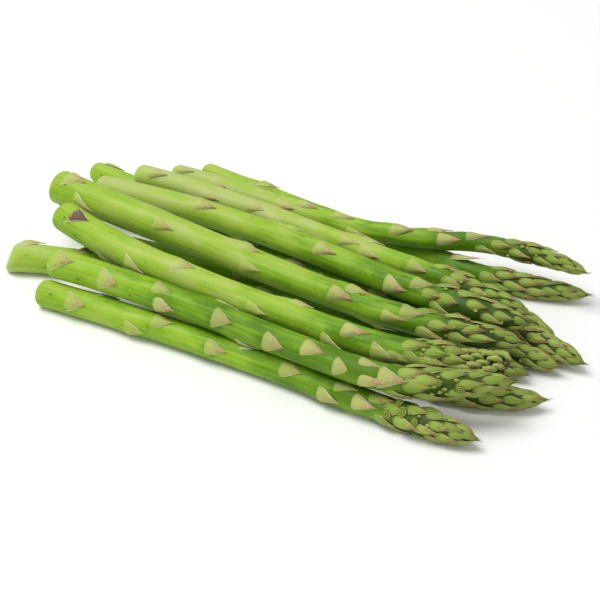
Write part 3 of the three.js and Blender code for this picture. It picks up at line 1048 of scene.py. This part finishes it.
def makeGreenGroup():
    tree, _, goal = newGroup("spearGreen", [], [("Color", "NodeSocketColor")])
    marks = skinMarks
    streak, patch = noise(tree, *marks["streak"]), noise(tree, *marks["patch"])
    tone = attribute(tree, "tone")
    moved = combine(tree, "ADD", tone, spread(tree, streak, *marks["streakSpan"]))
    moved = combine(tree, "ADD", moved, spread(tree, patch, *marks["patchSpan"]))
    pores = spread(tree, noise(tree, *marks["pores"]), *marks["poreSpan"])
    pores = combine(tree, "MULTIPLY", pores, spread(tree, patch, *marks["poreWhere"]))
    moved = combine(tree, "ADD", moved, pores)
    ramp = tree.nodes.new("ShaderNodeValToRGB")
    stops = ramp.color_ramp.elements
    while len(stops) < len(greens):
        stops.new(0.5)
    for stop, (place, color) in zip(stops, greens):
        stop.position, stop.color = place, color
    tree.links.new(moved, ramp.inputs["Fac"])
    # painted shade: darken the skin towards the shade colour by the shade mask
    paintedShade = spread(tree, attribute(tree, "shade"), *marks["paintedShadeSpan"])
    color = blend(tree, paintedShade, ramp.outputs["Color"], marks["paintedShadeColor"])
    tree.links.new(color, goal.inputs["Color"])
    return tree


def makeScaleGroup():
    names = [(title, "NodeSocketColor", (0.5, 0.5, 0.5, 1)) for title in ("Green", "Pale", "Blush", "Rim")]
    names += [(title, "NodeSocketFloat", 0.0) for title in ("Blush Amount", "Blush Shift", "Pale Amount")]
    tree, source, goal = newGroup("scaleColor", names, [("Color", "NodeSocketColor")])
    marks = scaleMarks
    toTip, across, draw = (attribute(tree, name) for name in ("toTip", "across", "draw"))
    speckle = spread(tree, noise(tree, *marks["speckle"]), *marks["speckleSpan"])
    paleShare = spread(tree, toTip, *marks["paleRise"])
    paleShare = combine(tree, "MULTIPLY", paleShare, source.outputs["Pale Amount"])
    high = spread(tree, attribute(tree, "tone"), *marks["paleHigh"])
    paleShare = combine(tree, "MULTIPLY", paleShare, high)
    paleShare = combine(tree, "MULTIPLY", paleShare, spread(tree, draw, *marks["paleDraw"]))
    color = blend(tree, paleShare, source.outputs["Green"], source.outputs["Pale"])
    uneven = combine(tree, "ADD", toTip, speckle)
    reddened = combine(tree, "ADD", uneven, source.outputs["Blush Shift"])
    blush = spread(tree, reddened, *marks["blushRise"])
    blush = combine(tree, "MULTIPLY", blush, source.outputs["Blush Amount"])
    blush = combine(tree, "MULTIPLY", blush, spread(tree, draw, *marks["blushDraw"]))
    color = blend(tree, blush, color, source.outputs["Blush"])
    purple = spread(tree, draw, *marks["purpleDraw"])
    purple = combine(tree, "MULTIPLY", purple, spread(tree, uneven, *marks["purpleRise"]))
    color = blend(tree, purple, color, marks["purpleColor"])
    rim = spread(tree, across, *marks["rimEdge"])
    rim = combine(tree, "MULTIPLY", rim, spread(tree, toTip, *marks["rimRise"]))
    color = blend(tree, rim, color, source.outputs["Rim"])
    # painted shade: darken scales and buds towards the shade colour by the shade mask
    paintedShade = spread(tree, attribute(tree, "shade"), *skinMarks["paintedShadeSpan"])
    color = blend(tree, paintedShade, color, marks["paintedShadeColor"])
    tree.links.new(color, goal.inputs["Color"])
    return tree


def makeReliefGroup():
    inputs = [("Height", "NodeSocketFloat", 0.1)]
    tree, source, goal = newGroup("skinRelief", inputs, [("Normal", "NodeSocketVector")])
    lines = noise(tree, *skinMarks["relief"])
    bump = tree.nodes.new("ShaderNodeBump")
    bump.inputs["Distance"].default_value = skinMarks["reliefDeep"]
    tree.links.new(source.outputs["Height"], bump.inputs["Strength"])
    tree.links.new(lines, bump.inputs["Height"])
    tree.links.new(bump.outputs["Normal"], goal.inputs["Normal"])
    return tree


def useGroup(tree, group):
    node = tree.nodes.new("ShaderNodeGroup")
    node.node_tree = group
    return node


def newMaterial(name, groups, roughness, relief):
    material = bpy.data.materials.new(name)
    material.use_nodes = True
    tree = material.node_tree
    shader = tree.nodes["Principled BSDF"]
    shader.inputs["Roughness"].default_value = roughness
    shader.inputs["Specular IOR Level"].default_value = skinMarks["gloss"]
    green = useGroup(tree, groups["green"])
    bumps = useGroup(tree, groups["relief"])
    bumps.inputs["Height"].default_value = relief
    tree.links.new(bumps.outputs["Normal"], shader.inputs["Normal"])
    return material, tree, shader, green.outputs["Color"]


def makeSkin(groups):
    material, tree, shader, green = newMaterial("stemSkin", groups, 0.46, 0.22)
    cut = spread(tree, attribute(tree, "across"), *skinMarks["cutSpan"])
    color = blend(tree, cut, green, skinMarks["cutColor"])
    tree.links.new(color, shader.inputs["Base Color"])
    return material


def makeScaleMaterial(name, groups, colors, blush, paleAmount, relief):
    material, tree, shader, green = newMaterial(name, groups, 0.52, relief)
    tint = useGroup(tree, groups["scale"])
    tree.links.new(green, tint.inputs["Green"])
    for title, color in zip(("Pale", "Blush", "Rim"), colors):
        tint.inputs[title].default_value = color
    tint.inputs["Blush Amount"].default_value = blush[0]
    tint.inputs["Blush Shift"].default_value = blush[1]
    tint.inputs["Pale Amount"].default_value = paleAmount
    tree.links.new(tint.outputs["Color"], shader.inputs["Base Color"])
    return material


groups = {"green": makeGreenGroup(), "scale": makeScaleGroup(), "relief": makeReliefGroup()}
leafColors = [(0.53, 0.54, 0.18, 1), (0.45, 0.20, 0.15, 1), (0.68, 0.63, 0.48, 1)]
headColors = [(0.39, 0.50, 0.10, 1), (0.30, 0.13, 0.07, 1), (0.66, 0.54, 0.32, 1)]
budColors = [(0.38, 0.45, 0.09, 1), (0.42, 0.24, 0.12, 1), (0.5, 0.44, 0.2, 1)]
materials = [
    makeSkin(groups),
    makeScaleMaterial("leafScale", groups, leafColors, (0.85, 0.06), 0.9, 0.6),
    makeScaleMaterial("headScale", groups, headColors, (0.85, 0.02), 0.8, 1.0),
    makeScaleMaterial("budScale", groups, budColors, (0.75, 0.0), 0.9, 0.8),
]
print("materials made")

for spear in spears:
    print(spear["name"], makeSpear(spear, materials), "faces")
